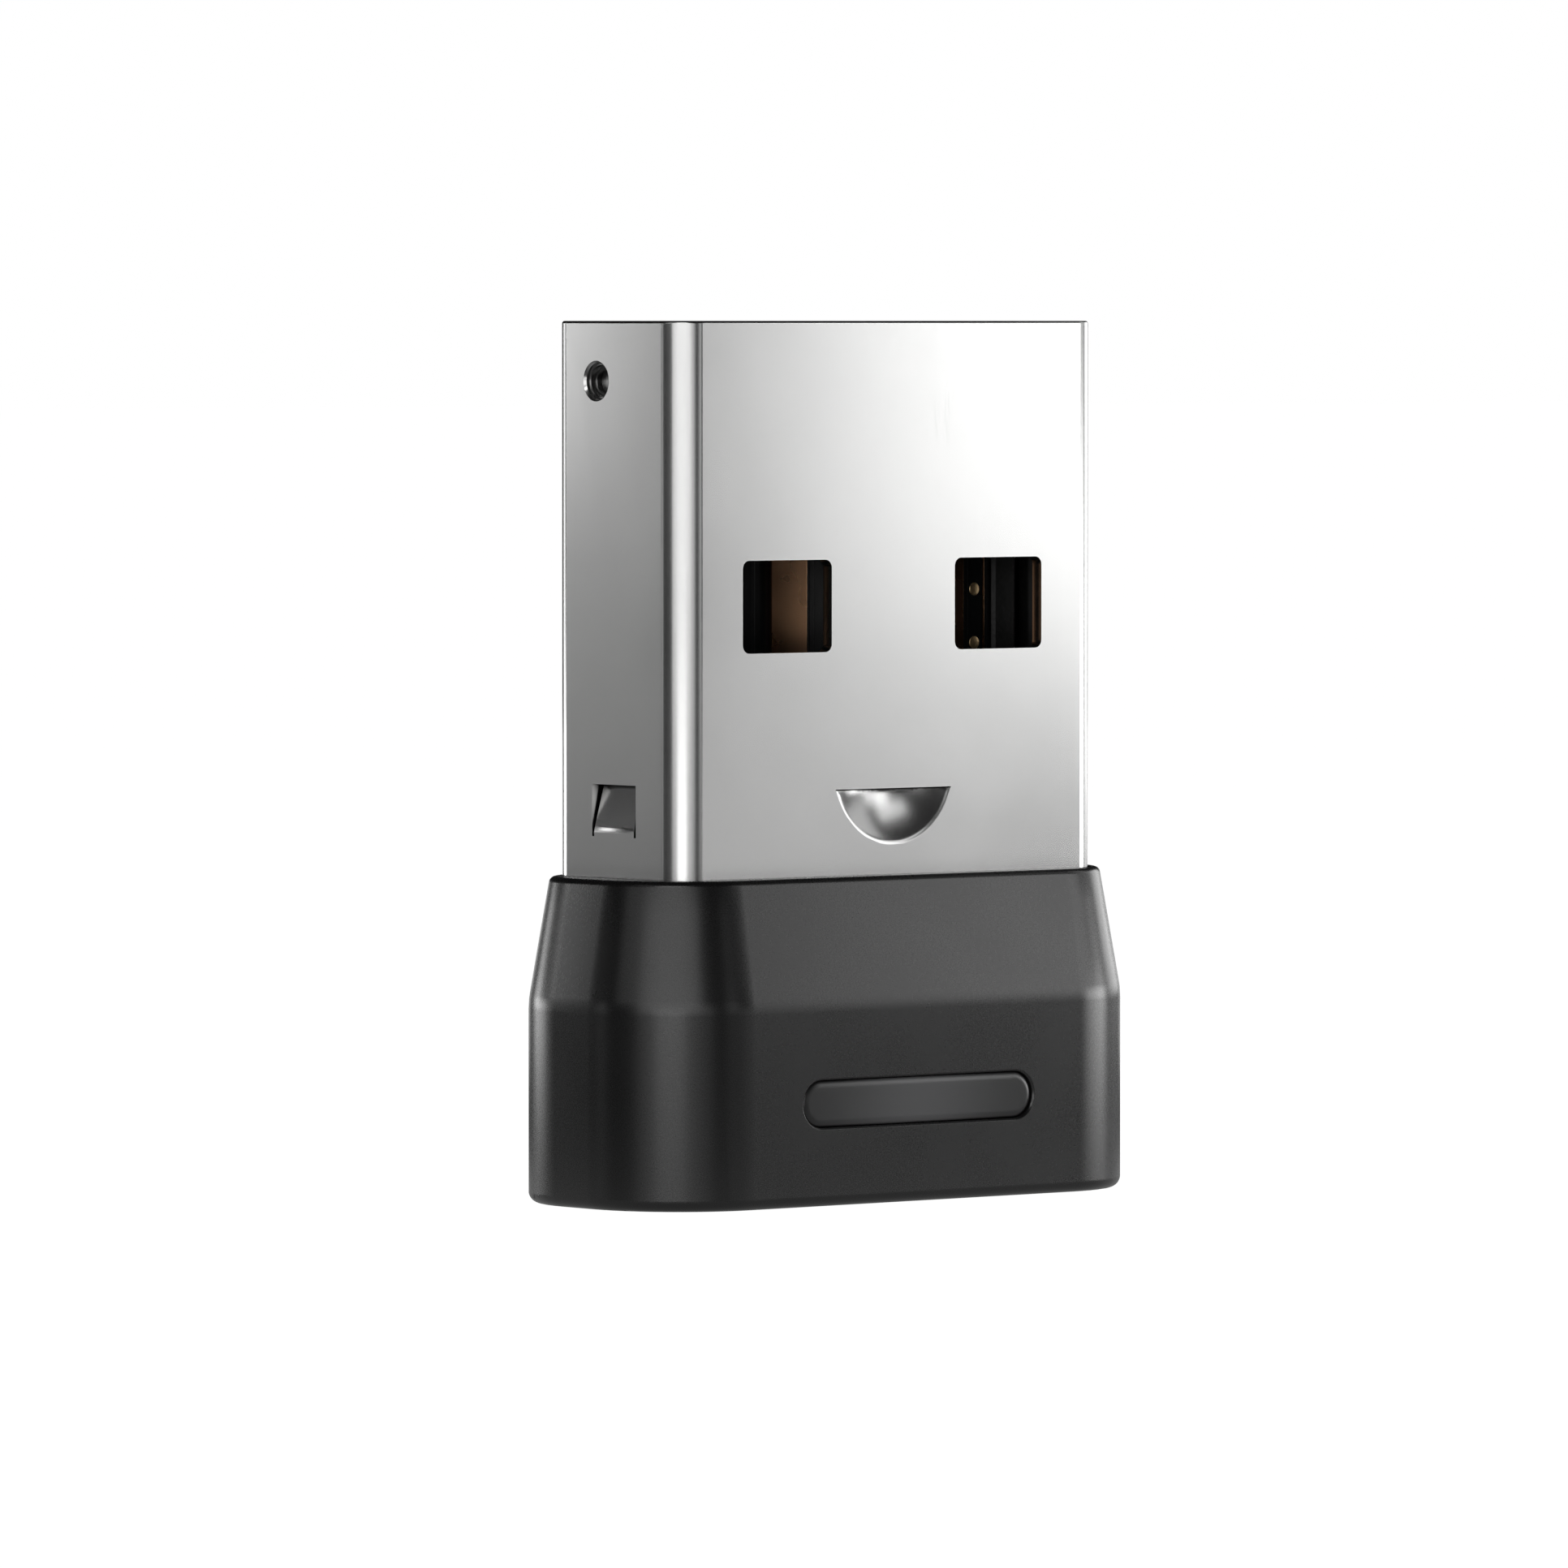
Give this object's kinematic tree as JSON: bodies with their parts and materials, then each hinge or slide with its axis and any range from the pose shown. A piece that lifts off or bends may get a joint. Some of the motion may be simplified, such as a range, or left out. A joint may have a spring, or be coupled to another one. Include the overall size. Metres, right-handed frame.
{
  "type": "usb bluetooth adapter",
  "caption": "Short wireless adapter: a folded metal plug with windows and lances, standing out of a tapered plastic boot with a pill-shaped light guide.",
  "frame": {"origin": "centre of the boot's flat base", "axes": "+Z towards the plug's mouth, X across the plug's width, -Y towards the front face with the light guide"},
  "size_m": [0.0144, 0.0062, 0.0191],
  "materials": {
    "plated_steel": "satin nickel plate",
    "boot_plastic": "fine satin",
    "smoked_lens": "smoked, satin",
    "board": "black solder mask",
    "insert_plastic": "moulded",
    "gold_plate": "gold plated",
    "chip_plastic": "moulding compound",
    "crystal_can": "plated lid",
    "dark_ceramic": "dark ceramic",
    "pale_ceramic": "tan ceramic",
    "led_resin": "clear resin",
    "solder": "solder"
  },
  "bodies": {
    "root": {"plug_shell": "plated_steel", "housing": "boot_plastic", "indicator_lens": "smoked_lens", "circuit_board": "board", "board_tray": "insert_plastic", "board_clamp": "insert_plastic", "contact_power": "gold_plate", "contact_data_minus": "gold_plate", "contact_data_plus": "gold_plate", "contact_ground": "gold_plate", "guard_line": "gold_plate", "printed_antenna": "gold_plate", "radio_chip": "chip_plastic", "memory_chip": "chip_plastic", "voltage_regulator": "chip_plastic", "surge_diode": "chip_plastic", "crystal": "crystal_can", "ferrite_bead": "dark_ceramic", "resistors": "dark_ceramic", "band_filter": "pale_ceramic", "capacitors": "pale_ceramic", "indicator_led": "led_resin", "shell_solder_joints": "solder"}
  },
  "joints": []
}
